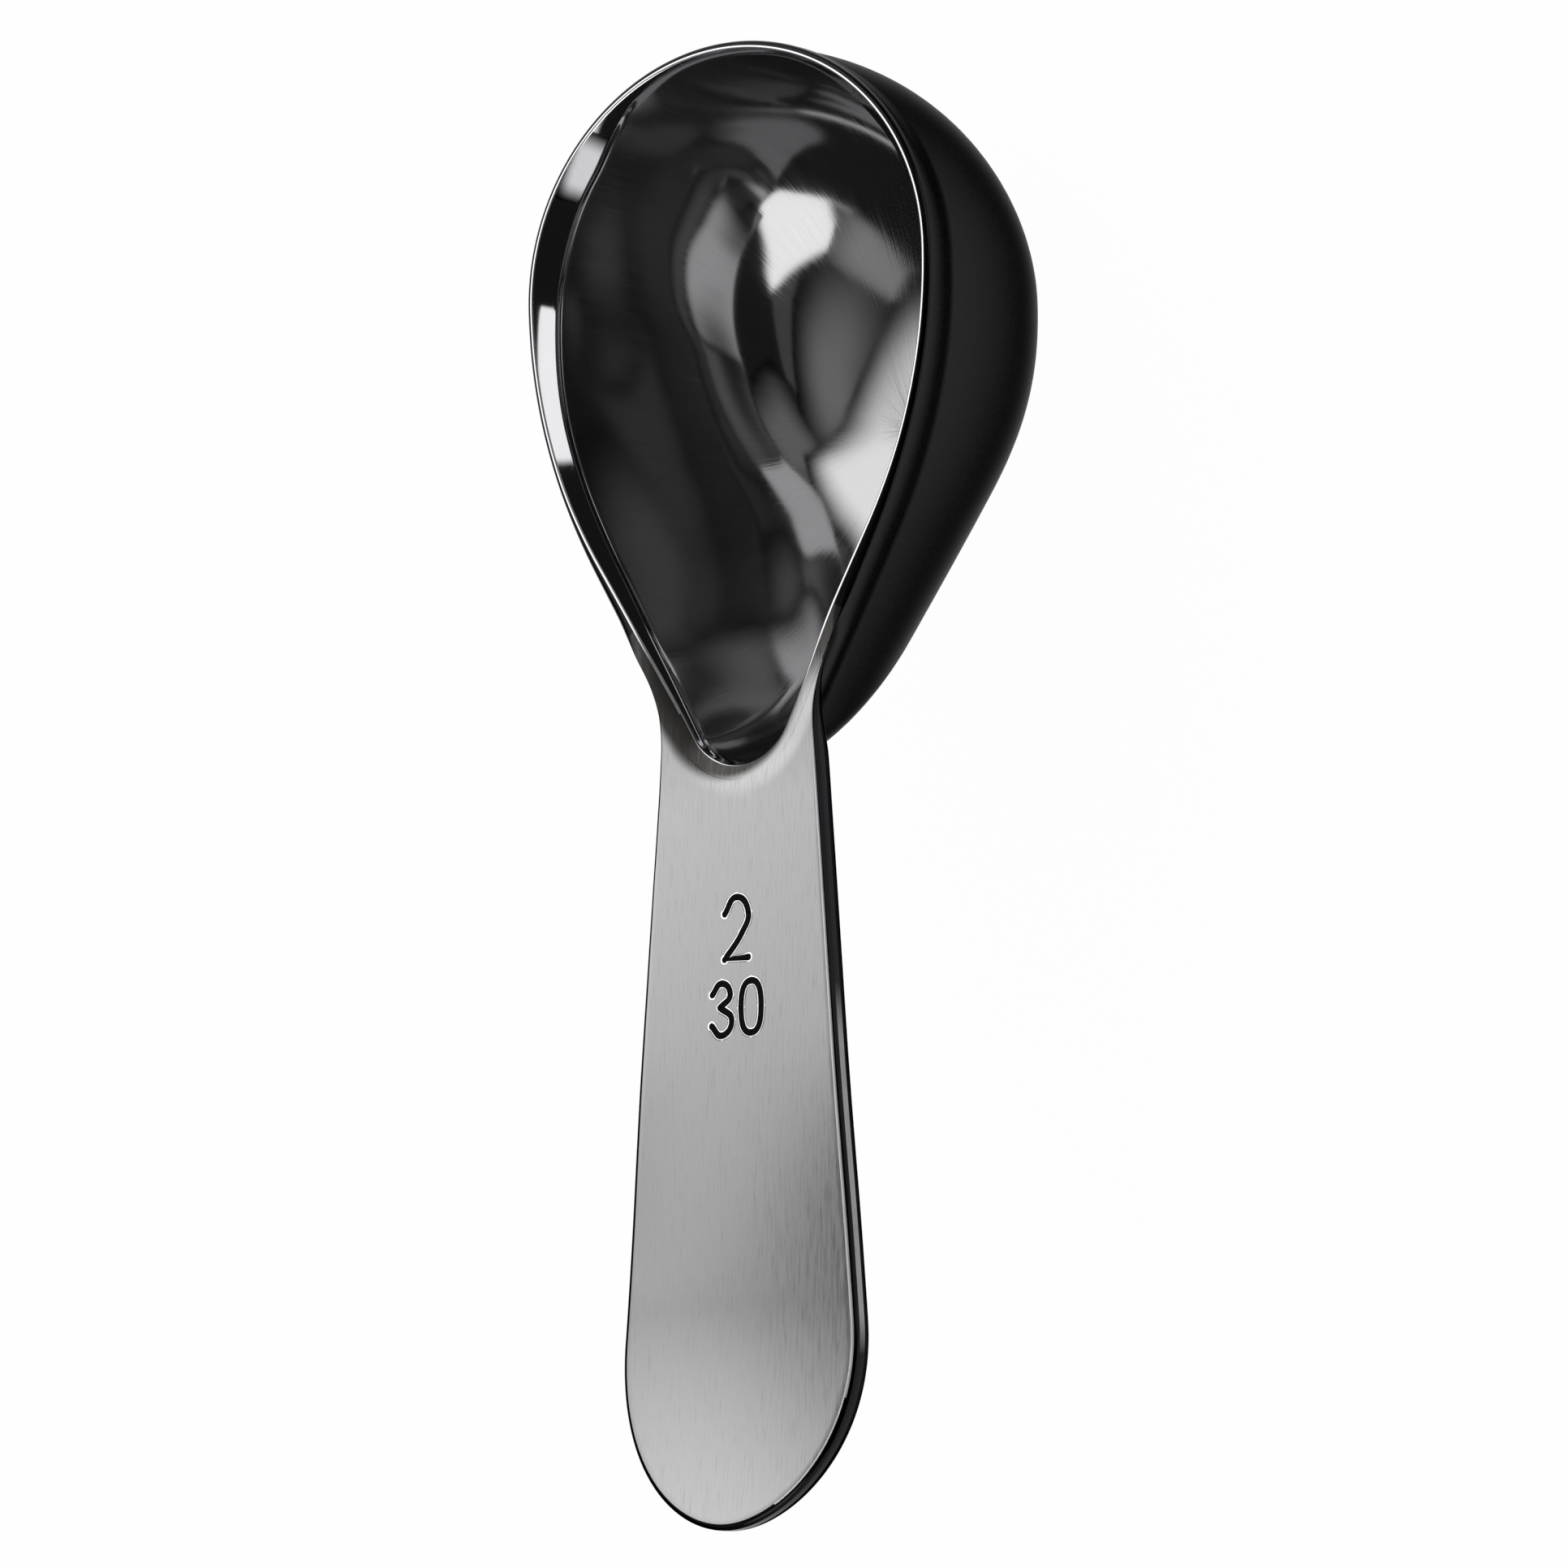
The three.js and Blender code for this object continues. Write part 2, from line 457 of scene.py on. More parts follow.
# Bare steel that the laser leaves round each stroke: a thin bright border.
BRIGHT_BORDER = Finish(
    "bare_steel_laser_border",
    colour="#f4f4f4",
    streak_colour="#fcfcfc",
    roughness=0.25,
    roughness_spread=0.05,
    streak_width=0.1 * MM,
    streak_length=0.1 * MM,
    relief=0.0005 * MM,
)


@dataclass
class BowlPlan:
    """The bowl's outline from above: a small round tip, straight flanks and a wide round front."""

    half_width: float = 20.4 * MM
    widest_y: float = 6.0 * MM
    front_reach: float = 19.3 * MM
    side_half_width: float = 14.0 * MM
    side_y: float = -16.75 * MM
    side_angle: float = math.radians(29.5)
    side_tension: float = 8.2 * MM
    tip_radius: float = 6.5 * MM
    samples: int = 400
    lean: Vector = field(init=False)
    side_normal: Vector = field(init=False)
    tip_centre: Vector = field(init=False)
    touch: Vector = field(init=False)
    tip_y: float = field(init=False)
    middle_y: float = field(init=False)
    half_length: float = field(init=False)
    edge: list[tuple[Vector, Vector]] = field(init=False)
    lengths: list[float] = field(init=False)

    def __post_init__(self) -> None:
        """Works out the tip, the middle and the half outline."""
        self.lean = Vector((math.sin(self.side_angle), math.cos(self.side_angle)))
        self.side_normal = Vector((self.lean.y, -self.lean.x))
        meet_y = self.side_y - self.side_half_width / math.tan(self.side_angle)
        self.tip_centre = Vector((0, meet_y + self.tip_radius / math.sin(self.side_angle)))
        self.touch = self.tip_centre + self.tip_radius * self.side_normal
        self.tip_y = self.tip_centre.y - self.tip_radius
        front_y = self.widest_y + self.front_reach
        self.middle_y = 0.5 * (front_y + self.tip_y)
        self.half_length = 0.5 * (front_y - self.tip_y)
        self.edge = self.half_outline()
        self.lengths = run_lengths([point for point, _ in self.edge])

    def half_outline(self) -> list[tuple[Vector, Vector]]:
        """Walks from the tip round the right flank to the front.

        Returns:
            Points of the outline, each with its outward direction.
        """
        found = []
        for step in range(self.samples):
            angle = -math.pi / 2 + (math.pi / 2 - self.side_angle) * step / self.samples
            out = Vector((math.cos(angle), math.sin(angle)))
            found.append((self.tip_centre + self.tip_radius * out, out))
        found.append((self.touch, self.side_normal))
        side = Vector((self.side_half_width, self.side_y))
        widest = Vector((self.half_width, self.widest_y))
        pull = self.side_tension * self.lean
        flank = bezier(side, side + pull, widest - Vector((0, self.side_tension)), widest, self.samples)
        for index, point in enumerate(flank[:-1]):
            ahead = flank[index + 1] - flank[max(index - 1, 0)]
            found.append((point, Vector((ahead.y, -ahead.x)).normalized()))
        for step in range(self.samples + 1):
            angle = math.pi / 2 * step / self.samples
            reach = Vector((self.half_width * math.cos(angle), self.front_reach * math.sin(angle)))
            out = Vector((math.cos(angle) / self.half_width, math.sin(angle) / self.front_reach))
            found.append((Vector((0, self.widest_y)) + reach, out.normalized()))
        return found

    def at(self, turn: float) -> tuple[Vector, Vector]:
        """Reads the outline at a share of the way round, from the tip by the right flank.

        Args:
            turn: the share of the way round, from 0 to 1.

        Returns:
            The point and its outward direction.
        """
        right = turn <= 0.5
        i, share = locate(self.lengths, 2 * (turn if right else 1 - turn) * self.lengths[-1])
        point = self.edge[i - 1][0].lerp(self.edge[i][0], share)
        out = self.edge[i - 1][1].lerp(self.edge[i][1], share).normalized()
        if right:
            return point, out
        return Vector((-point.x, point.y)), Vector((-out.x, out.y))

    def along(self, y: float) -> float:
        """Share of the bowl's length: 1 at the front, 0 in the middle and -1 at the tip."""
        return (y - self.middle_y) / self.half_length

    def gap_to(self, spot: Vector) -> float:
        """How far a place by the tip is outside the outline.

        Args:
            spot: the place from above.

        Returns:
            The distance, negative inside the outline.
        """
        place = Vector((abs(spot.x), spot.y))
        if (place - self.tip_centre).dot(self.lean) > 0:
            return (place - self.touch).dot(self.side_normal)
        return (place - self.tip_centre).length - self.tip_radius


@dataclass
class TopFace:
    """The level of the scoop's top: flat along the rim, rising along the handle, rolled in at the tip.

    Towards its end the handle is crowned across and lifts a little. Round the tip painted shade darkens the
    brushed face, where it rolls down into the bowl.
    """

    plan: BowlPlan
    rim_height: float = 28.3 * MM
    wall: float = 0.75 * MM
    tip_wall: float = 1.3 * MM
    wall_thin_y: float = -8.0 * MM
    wall_thick_y: float = -26.0 * MM
    neck_y: float = -30.5 * MM
    end_y: float = -95.0 * MM
    rise: float = 0.045
    rise_ramp: float = 6.0 * MM
    lift: float = 0.158
    lift_length: float = 18.0 * MM
    roll_depth: float = 0.55 * MM
    roll_width: float = 2.6 * MM
    roll_start_y: float = -22.0 * MM
    roll_full_y: float = -30.0 * MM
    crown: float = 0.055
    crown_reach: float = 11.0 * MM
    crown_from_y: float = -56.0 * MM
    crown_full_y: float = -74.0 * MM
    # Painted shade round the bowl's tip: its reach from the lip, its lean to the left, its soft border, and
    # where it covers the whole face by the bowl.
    painted_shade_width: float = 1.05 * MM
    painted_shade_skew: float = 0.16
    painted_shade_soft: float = 0.5 * MM
    painted_shade_from_y: float = -29.0 * MM
    painted_shade_full_y: float = -25.0 * MM

    def darkening(self, spot: Vector) -> float:
        """How much painted shade darkens the face round the bowl's tip, further on the left than on the
        right.

        Args:
            spot: the place from above.

        Returns:
            The share, 1 where painted shade has replaced the brushing.
        """
        limit = self.painted_shade_width - self.painted_shade_skew * spot.x
        near = 1 - smooth_share(self.from_lip(spot), limit - self.painted_shade_soft, limit + self.painted_shade_soft)
        return max(near, smooth_share(spot.y, self.painted_shade_from_y, self.painted_shade_full_y))

    def from_lip(self, spot: Vector) -> float:
        """Distance of a place by the tip from the bowl's inner lip."""
        return self.plan.gap_to(spot) + self.wall_at(spot.y)

    def wall_at(self, y: float) -> float:
        """Thickness of the bowl's wall at the rim, thicker towards the tip."""
        return self.wall + (self.tip_wall - self.wall) * smooth_share(y, self.wall_thin_y, self.wall_thick_y)

    def climb(self, y: float) -> float:
        """Height of the handle's centre line above the rim.

        Args:
            y: the place along the scoop.

        Returns:
            The height, 0 over the bowl.
        """
        back = max(0.0, self.neck_y - y)
        ramp = min(back, self.rise_ramp)
        straight = self.rise * (back - ramp + 0.5 * ramp * ramp / self.rise_ramp)
        bent = max(0.0, back - (self.neck_y - self.end_y) + self.lift_length)
        return straight + 0.5 * self.lift * bent * bent / self.lift_length

    def roll(self, from_lip: float, y: float) -> float:
        """How far the face has rolled down at a distance from the bowl's inner lip."""
        near = max(0.0, 1 - max(from_lip, 0.0) / self.roll_width)
        return self.roll_depth * near * near * smooth_share(y, self.roll_start_y, self.roll_full_y)

    def height(self, spot: Vector) -> float:
        """Level of the handle's face.

        Args:
            spot: the place from above.

        Returns:
            The height above the floor.
        """
        crowned = smooth_share(spot.y, self.crown_from_y, self.crown_full_y)
        crown = 0.5 * self.crown * spot.x * spot.x / self.crown_reach * crowned
        return self.rim_height + self.climb(spot.y) - self.roll(self.from_lip(spot), spot.y) - crown


@dataclass(frozen=True)
class Ring:
    """One ring of the bowl's skin.

    Its share is how far it has come along its stretch: down the wall, or round the rim or the bend.
    """

    region: Region
    stretch: Stretch
    share: float
    inner: bool = False
    centre: bool = False


@dataclass(frozen=True)
class WallForm:
    """How a wall rounds from upright to level: its fullness each way, and how its floor is softened.

    A fuller wall stays upright for longer. The floor is moved forward, soft rounds off its middle, and
    shoulder leans the upper wall in.
    """

    across: float
    front: float
    tip: float
    forward: float
    soft: float = 0.0
    shoulder: float = 0.0


@dataclass
class Bowl:
    """The drawn teardrop bowl with its upright collar, rounded rim and the sloping ledge inside the rim."""

    plan: BowlPlan
    top: TopFace
    collar_heights: tuple[float, float, float] = (1.2 * MM, 3.2 * MM, 1.9 * MM)
    collar_step: float = 0.3 * MM
    ledge_heights: tuple[float, float, float, float] = (0.5 * MM, 1.55 * MM, 2.1 * MM, 0.6 * MM)
    ledge_shares: tuple[float, float, float] = (0.2, 0.6, 0.75)
    ledge_slope: float = math.radians(35)
    bend: float = 0.45 * MM
    bend_share: float = 0.8
    floor: float = 3.0 * MM
    rim_round: float = 0.5 * MM
    lip_round: float = 0.22 * MM
    land: float = 0.08 * MM
    square_from_y: float = -24.5 * MM
    brushed_from_y: float = -22.0 * MM
    lip_until_y: float = -29.0 * MM
    brushed_tilt: float = 0.85
    round_from_y: float = -20.0 * MM
    outer_wall: WallForm = WallForm(2.4, 2.25, 1.6, 3.0 * MM)
    inner_wall: WallForm = WallForm(2.9, 2.4, 1.8, 1.5 * MM, 0.2, 0.1)
    flat_share: float = 0.985
    steps: int = 288
    outside_rings: int = 40
    inside_rings: int = 72
    round_rings: int = 6
    rim_crowding: float = 1.2
    seam: float = 1e-4

    def rings(self) -> list[Ring]:
        """Lists the rings from the middle of the underside, over the rim, to the middle of the inside.

        Returns:
            The rings in order.
        """
        outside, inside, last = Region.OUTSIDE, Region.INSIDE, self.round_rings
        found = [Ring(outside, Stretch.WALL, self.flat_share, centre=True)]
        for step in range(self.outside_rings, -1, -1):
            share = self.flat_share * math.sin(0.5 * math.pi * step / self.outside_rings)
            found.append(Ring(outside, Stretch.WALL, share))
        found.append(Ring(outside, Stretch.FOOT, 0.0))
        crest = (
            (Stretch.EDGE, Region.EDGE, Region.LIP),
            (Stretch.LIP, Region.LIP, Region.LEDGE),
            (Stretch.BEND, Region.LEDGE, inside),
        )
        for stretch, region, after in crest:
            for step in range(last + 1):
                inner = stretch is not Stretch.EDGE
                found.append(Ring(region if step < last else after, stretch, step / last, inner))
        for step in range(1, self.inside_rings):
            share = math.sin(0.5 * math.pi * step / self.inside_rings) ** self.rim_crowding
            found.append(Ring(inside, Stretch.WALL, share, True))
        found.append(Ring(inside, Stretch.WALL, 1.0, True, centre=True))
        return found

    def ledge(self, along: float) -> float:
        """Height of the sloping ledge, low at the tip and the front and highest at the front's quarters.

        Args:
            along: the share of the bowl's length.

        Returns:
            The height there.
        """
        tip, side, quarter, front = self.ledge_heights
        leave_side, reach_quarter, leave_quarter = self.ledge_shares
        if along < 0:
            return side + (tip - side) * smooth_share(-along, leave_side, 1.0)
        rise = (quarter - side) * smooth_share(along, 0.0, reach_quarter)
        return side + rise + (front - quarter) * smooth_share(along, leave_quarter, 1.0)

    def collar(self, along: float) -> float:
        """Height of the outer collar at a share of the bowl's length."""
        front, side, tip = self.collar_heights
        return side + ((front if along > 0 else tip) - side) * along * along

    def reach(self, share: float, fullness: float, soft: float) -> float:
        """How far a level still reaches out on a wall that is upright above and level below.

        Args:
            share: how far down the level is, from 0 to 1.
            fullness: how long the wall stays upright.
            soft: how much of the middle is rounded off.

        Returns:
            The reach as a share of the top level's.
        """
        floor = (1 - (soft * soft / (1 + soft * soft)) ** (fullness / 2)) ** (1 / fullness)
        level = (1 - (share * floor) ** fullness) ** (2 / fullness)
        return math.sqrt(max(0.0, (1 + soft * soft) * level - soft * soft))

    def place(self, ring: Ring, turn: float) -> Vector:
        """Puts one point of the skin.

        Args:
            ring: the point's ring.
            turn: its share of the way round the outline.

        Returns:
            The point.
        """
        edge, out = self.plan.at(turn)
        if ring.inner:
            return self.place_inside(ring, edge, out)
        rim = self.top.rim_height
        if ring.stretch is Stretch.EDGE:
            wall = self.top.wall_at(edge.y)
            drop = self.rim_round * smooth_share(edge.y, self.square_from_y, self.round_from_y)
            curve = 0.5 * math.pi * ring.share
            inset = (wall - self.lip_round - self.land) * (1 - math.cos(curve))
            spot = edge - inset * out
            roll = self.top.roll(wall - inset, edge.y)
            return Vector((spot.x, spot.y, rim - roll - drop * (1 - math.sin(curve))))
        collar = self.collar(self.plan.along(edge.y))
        if ring.stretch is Stretch.FOOT:
            return Vector((edge.x, edge.y, rim - collar + self.collar_step))
        start = edge - self.collar_step * out
        depth = (rim - collar) * ring.share / self.flat_share
        return self.wall_point(self.outer_wall, ring.share, start, rim - collar, depth, ring.centre)

    def place_inside(self, ring: Ring, edge: Vector, out: Vector) -> Vector:
        """Puts one point of the skin inside the rim's crest.

        Args:
            ring: the point's ring.
            edge: the place on the outline.
            out: the outline's outward direction there.

        Returns:
            The point.
        """
        wall = self.top.wall_at(edge.y)
        if ring.stretch is Stretch.LIP:
            curve = 0.5 * math.pi - (0.5 * math.pi - self.ledge_slope) * ring.share
            inset = wall - self.lip_round * (1 - math.cos(curve))
            spot = edge - inset * out
            level = self.top.rim_height - self.top.roll(wall - inset, edge.y)
            return Vector((spot.x, spot.y, level - self.lip_round * (1 - math.sin(curve))))
        rim = self.top.rim_height - self.top.roll(0.0, edge.y)
        lip_inset = wall - self.lip_round * (1 - math.cos(self.ledge_slope))
        lip_drop = self.lip_round * (1 - math.sin(self.ledge_slope))
        height = max(self.ledge(self.plan.along(edge.y)), lip_drop)
        slope = math.tan(self.ledge_slope)
        foot = edge - (lip_inset + (height - lip_drop) * slope) * out
        foot_level = rim - height
        if ring.stretch is Stretch.BEND:
            run = min(self.bend, self.bend_share * (height - lip_drop))
            above = Vector((foot.x + run * slope * out.x, foot.y + run * slope * out.y, foot_level + run))
            below = self.wall_inside(run / (foot_level - self.floor), foot, foot_level, False)
            corner = Vector((foot.x, foot.y, foot_level))
            t, u = ring.share, 1 - ring.share
            return u * u * above + 2 * u * t * corner + t * t * below
        first = self.bend / (foot_level - self.floor)
        return self.wall_inside(first + (1 - first) * ring.share, foot, foot_level, ring.centre)

    def wall_inside(self, share: float, foot: Vector, level: float, centre: bool) -> Vector:
        """A point of the inner wall, a share of the way down from the ledge's foot to the floor."""
        depth = (level - self.floor) * share
        return self.wall_point(self.inner_wall, share, foot, level, depth, centre)

    def wall_point(
        self, form: WallForm, share: float, start: Vector, level: float, depth: float, centre: bool
    ) -> Vector:
        """A point of the drawn wall: the outline drawn in, more at the tip, and moved forward with depth.

        Args:
            form: the wall's rounding.
            share: how far down it is.
            start: the wall's top from above.
            level: the height of the wall's top.
            depth: how far under that it is.
            centre: whether it is the floor's middle.

        Returns:
            The point.
        """
        shift = self.plan.middle_y + form.forward * share
        if centre:
            return Vector((0, shift, level - depth))
        lean = form.shoulder * share * (1 - share) ** 2
        reach = [self.reach(share, full, form.soft) - lean for full in (form.across, form.front, form.tip)]
        along = self.plan.along(start.y)
        lengthwise = 0.5 * (reach[1] * (1 + along) + reach[2] * (1 - along))
        y = shift + (start.y - self.plan.middle_y) * lengthwise
        return Vector((start.x * reach[0], y, level - depth))

    def build(self) -> bpy.types.Object:
        """Spins the ringed skin and pushes it out to the teardrop.

        Returns:
            The bowl's object.
        """
        rings = self.rings()
        skin = bmesh.new()
        profile = [skin.verts.new((0.0 if r.centre else 1.0, 0.0, float(k))) for k, r in enumerate(rings)]
        edges = [skin.edges.new(pair) for pair in zip(profile, profile[1:])]
        bmesh.ops.spin(
            skin,
            geom=[*profile, *edges],
            cent=(0, 0, 0),
            axis=(0, 0, 1),
            angle=2 * math.pi,
            steps=self.steps,
            use_merge=True,
        )
        bmesh.ops.remove_doubles(skin, verts=skin.verts, dist=self.seam)
        for face in skin.faces:
            level = sum(v.co.z for v in face.verts) / len(face.verts)
            face.material_index = rings[int(level)].region.value
            face.smooth = True
        wall = skin.loops.layers.uv.new(WALL_MAP)
        girth = 2 * self.plan.lengths[-1]
        for face in skin.faces:
            turns = [self.turn_of(loop.vert) for loop in face.loops]
            for loop, turn in zip(face.loops, turns):
                whole = turn + 1 if max(turns) - turn > 0.5 else turn
                share = rings[round(loop.vert.co.z)].share
                loop[wall].uv = (whole * girth, share * self.top.rim_height)
        for vert in skin.verts:
            vert.co = self.place(rings[round(vert.co.z)], self.turn_of(vert))
        bmesh.ops.recalc_face_normals(skin, faces=skin.faces)
        # Near the tip, upward faces of the rounded rim and of the lip's painted highlight take the handle's
        # brushed face.
        starts = {Region.EDGE.value: self.brushed_from_y, Region.LIP.value: self.lip_until_y}
        for face in skin.faces:
            start = starts.get(face.material_index)
            if start and face.calc_center_median().y < start and face.normal.z > self.brushed_tilt:
                face.material_index = Region.BRUSHED_TIP.value
        lay_plan(skin, self.top)
        return as_object("bowl_shell", skin)

    def turn_of(self, vert: bmesh.types.BMVert) -> float:
        """Share of the way round of a point on the freshly spun skin."""
        return (math.atan2(vert.co.y, vert.co.x) / (2 * math.pi)) % 1.0

    def dress(self, piece: bpy.types.Object) -> None:
        """Gives the bowl its finishes and its place in the frame.

        Args:
            piece: the bowl's object.
        """
        finishes = (SATIN_OUTSIDE, GLOSSY_RIM, PAINTED_HIGHLIGHT_LIP, MIRROR_LEDGE, POLISHED_INSIDE, BRUSHED_FACE)
        for finish in finishes:
            piece.data.materials.append(finish.material())
        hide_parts("bowl")
        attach(piece, "root")


@dataclass
class Handle:
    """The flat handle: arms that run out along the bowl's flanks, a spreading grip and a long round end.

    The painted highlight along the right corner starts, thins and ends at three places along y. The edge's
    painted highlight band starts, is full, leaves and ends at band_y, and a cover over 1 keeps its streaks
    out of the black beyond.
    """

    plan: BowlPlan
    top: TopFace
    thickness: float = 2.0 * MM
    edge_round: float = 0.5 * MM
    edge_round_share: float = 0.45
    sharp_angle: float = math.radians(50)
    neck_half_width: float = 7.7 * MM
    end_half_width: float = 11.6 * MM
    end_round_length: float = 15.9 * MM
    end_shoulder: float = 10.2 * MM
    end_flat: float = 5.4 * MM
    arm_reach: float = 7.5 * MM
    arm_taper: float = 9.0 * MM
    arm_tip_share: float = 0.12
    neck_hollow: float = 2.5 * MM
    neck_settle_y: float = -32.0 * MM
    highlight_corner_y: tuple[float, float, float] = (-26.0 * MM, -85.0 * MM, -93.4 * MM)
    highlight_corner_columns: int = 2
    band_y: tuple[float, float, float, float] = (-50 * MM, -58 * MM, -78 * MM, -83 * MM)
    band_share: float = 0.66
    band_cover: float = 1.15
    notch_foot_y: float = -42.0 * MM
    fan_reach: float = 9.0 * MM
    notch_rows: int = 40
    grip_rows: int = 90
    end_rows: int = 60
    face_columns: int = 24
    round_columns: int = 6

    def outer_edge(self) -> list[list[Vector]]:
        """The right edge from the arm's tip to the end, in three stretches.

        Returns:
            The points of the arm, the grip and the end.
        """
        corner = Vector((self.end_half_width, self.top.end_y + self.end_round_length))
        neck = Vector((self.neck_half_width, self.top.neck_y))
        spread = (corner - neck).normalized()
        settle = neck + spread * ((self.neck_settle_y - neck.y) / spread.y)
        foot = neck + spread * ((self.notch_foot_y - neck.y) / spread.y)
        arm = self.plan.touch + self.arm_reach * self.plan.lean
        pull = self.neck_hollow
        hollow = bezier(arm, arm - pull * self.plan.lean, settle - pull * spread, settle, self.notch_rows)
        end = Vector((0, self.top.end_y))
        shoulder = corner + self.end_shoulder * spread
        tail = bezier(corner, shoulder, end + Vector((self.end_flat, 0)), end, self.end_rows)
        return [
            even_points([*hollow, foot], self.notch_rows + 1),
            even_points([foot, corner], self.grip_rows + 1),
            even_points(tail, self.end_rows + 1),
        ]

    def inner_edge(self) -> list[list[Vector]]:
        """The notch round the bowl's tip and then the centre line, matched to the outer edge.

        Returns:
            The points beside the arm, the grip and the end.
        """
        arm = self.plan.touch + self.arm_reach * self.plan.lean
        notch = [arm, self.plan.touch]
        sweep = math.pi / 2 - self.plan.side_angle
        for step in range(1, self.notch_rows + 1):
            angle = -self.plan.side_angle - sweep * step / self.notch_rows
            out = Vector((math.cos(angle), math.sin(angle)))
            notch.append(self.plan.tip_centre + self.plan.tip_radius * out)
        tip = Vector((0, self.plan.tip_y))
        corner = Vector((0, self.top.end_y + self.end_round_length))
        fan = Vector((0, self.top.end_y + self.fan_reach))
        return [
            even_points(notch, self.notch_rows + 1),
            even_points([tip, corner], self.grip_rows + 1),
            even_points([corner, fan], self.end_rows + 1),
        ]

    def section(self, width: float, thickness: float) -> list[tuple[float, float]]:
        """One cross-section from the inner edge over the face, round the edge and back underneath.

        Args:
            width: distance from the inner to the outer edge.
            thickness: the plate's thickness there.

        Returns:
            Each point's distance from the inner edge and its depth under the face.
        """
        size = min(self.edge_round, 0.5 * width, self.edge_round_share * thickness)
        face = [(width - size) * step / self.face_columns for step in range(self.face_columns)]
        over = [(x, 0.0) for x in face]
        rounded = []
        for step in range(self.round_columns + 1):
            angle = 0.5 * math.pi * step / self.round_columns
            rounded.append((width - size + size * math.sin(angle), size * (1 - math.cos(angle))))
        band = (width, size + self.band_share * (thickness - 2 * size))
        under = [(x, thickness - depth) for x, depth in reversed([*over, *rounded])]
        return [*over, *rounded, band, *under, over[0]]

    def build(self) -> bpy.types.Object:
        """Shapes a grid into the right half of the handle and mirrors it.

        Returns:
            The handle's object.
        """
        outer = [point for part in self.outer_edge() for point in part]
        inner = [point for part in self.inner_edge() for point in part]
        columns, rows = len(self.section(1.0, self.thickness)) - 1, len(outer) - 1
        half = bmesh.new()
        bmesh.ops.create_grid(half, x_segments=columns, y_segments=rows, size=1.0)
        for face in half.faces:
            x, y, _ = face.calc_center_median()
            place = outer[int((y + 1) / 2 * rows)]
            face.material_index = self.zone(int((x + 1) / 2 * columns), place.y).value
            face.smooth = True
        for vert in half.verts:
            column = round((vert.co.x + 1) / 2 * columns)
            row = round((vert.co.y + 1) / 2 * rows)
            across = outer[row] - inner[row]
            grown = smooth_share((outer[row] - outer[0]).length, 0.0, self.arm_taper)
            thickness = self.thickness * (self.arm_tip_share + (1 - self.arm_tip_share) * grown)
            reach, depth = self.section(across.length, thickness)[column]
            spot = inner[row] + (across * (reach / across.length) if across.length > 0 else across)
            vert.co = (spot.x, spot.y, self.top.height(spot) - depth)
        flat = [f for f in half.faces if all(abs(v.co.x) < MERGE for v in f.verts)]
        bmesh.ops.delete(half, geom=flat, context="FACES")
        bmesh.ops.mirror(half, geom=[*half.verts, *half.edges, *half.faces], axis="X", merge_dist=MERGE)
        bmesh.ops.remove_doubles(half, verts=half.verts, dist=MERGE)
        bmesh.ops.dissolve_degenerate(half, dist=0.1 * MERGE, edges=half.edges)
        bmesh.ops.recalc_face_normals(half, faces=half.faces)
        # The painted highlight stays on the right corner; the left corner keeps the plain black edge.
        for face in half.faces:
            if face.material_index == Zone.HIGHLIGHT_CORNER.value and face.calc_center_median().x < 0:
                face.material_index = Zone.EDGE.value
        lay_plan(half, self.top)
        darkening = half.verts.layers.float[DARKENING_MAP]
        # The edge band's painted highlight fades out into the edge's black towards the neck and the end.
        start, full, leave, end = self.band_y
        for vert in half.verts:
            if any(face.material_index == Zone.BAND.value for face in vert.link_faces):
                band = smooth_share(vert.co.y, start, full) - smooth_share(vert.co.y, leave, end)
                vert[darkening] = self.band_cover * (1 - band)
        return as_object("handle_plate", half)

    def zone(self, column: int, y: float) -> Zone:
        """Finds the zone of one patch of the handle.

        Args:
            column: the patch's number from the inner edge over the face.
            y: the place along the scoop.

        Returns:
            The zone that it lies in.
        """
        # corner counts the patches beside the face that carry the right corner's painted highlight.
        start, thin, end = self.highlight_corner_y
        corner = 0 if y > start or y < end else self.highlight_corner_columns if y > thin else 1
        if column < self.face_columns:
            return Zone.FACE
        if column < self.face_columns + corner:
            return Zone.HIGHLIGHT_CORNER
        return Zone.BAND if column == self.face_columns + self.round_columns else Zone.EDGE

    def dress(self, piece: bpy.types.Object) -> None:
        """Gives the handle its finishes and its place in the frame.

        Args:
            piece: the handle's object.
        """
        for finish in (BRUSHED_FACE, POLISHED_EDGE, PAINTED_HIGHLIGHT_CORNER, PAINTED_HIGHLIGHT_BAND):
            piece.data.materials.append(finish.material())
        piece.data.set_sharp_from_angle(angle=self.sharp_angle)
        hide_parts("handle")
        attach(piece, "root")


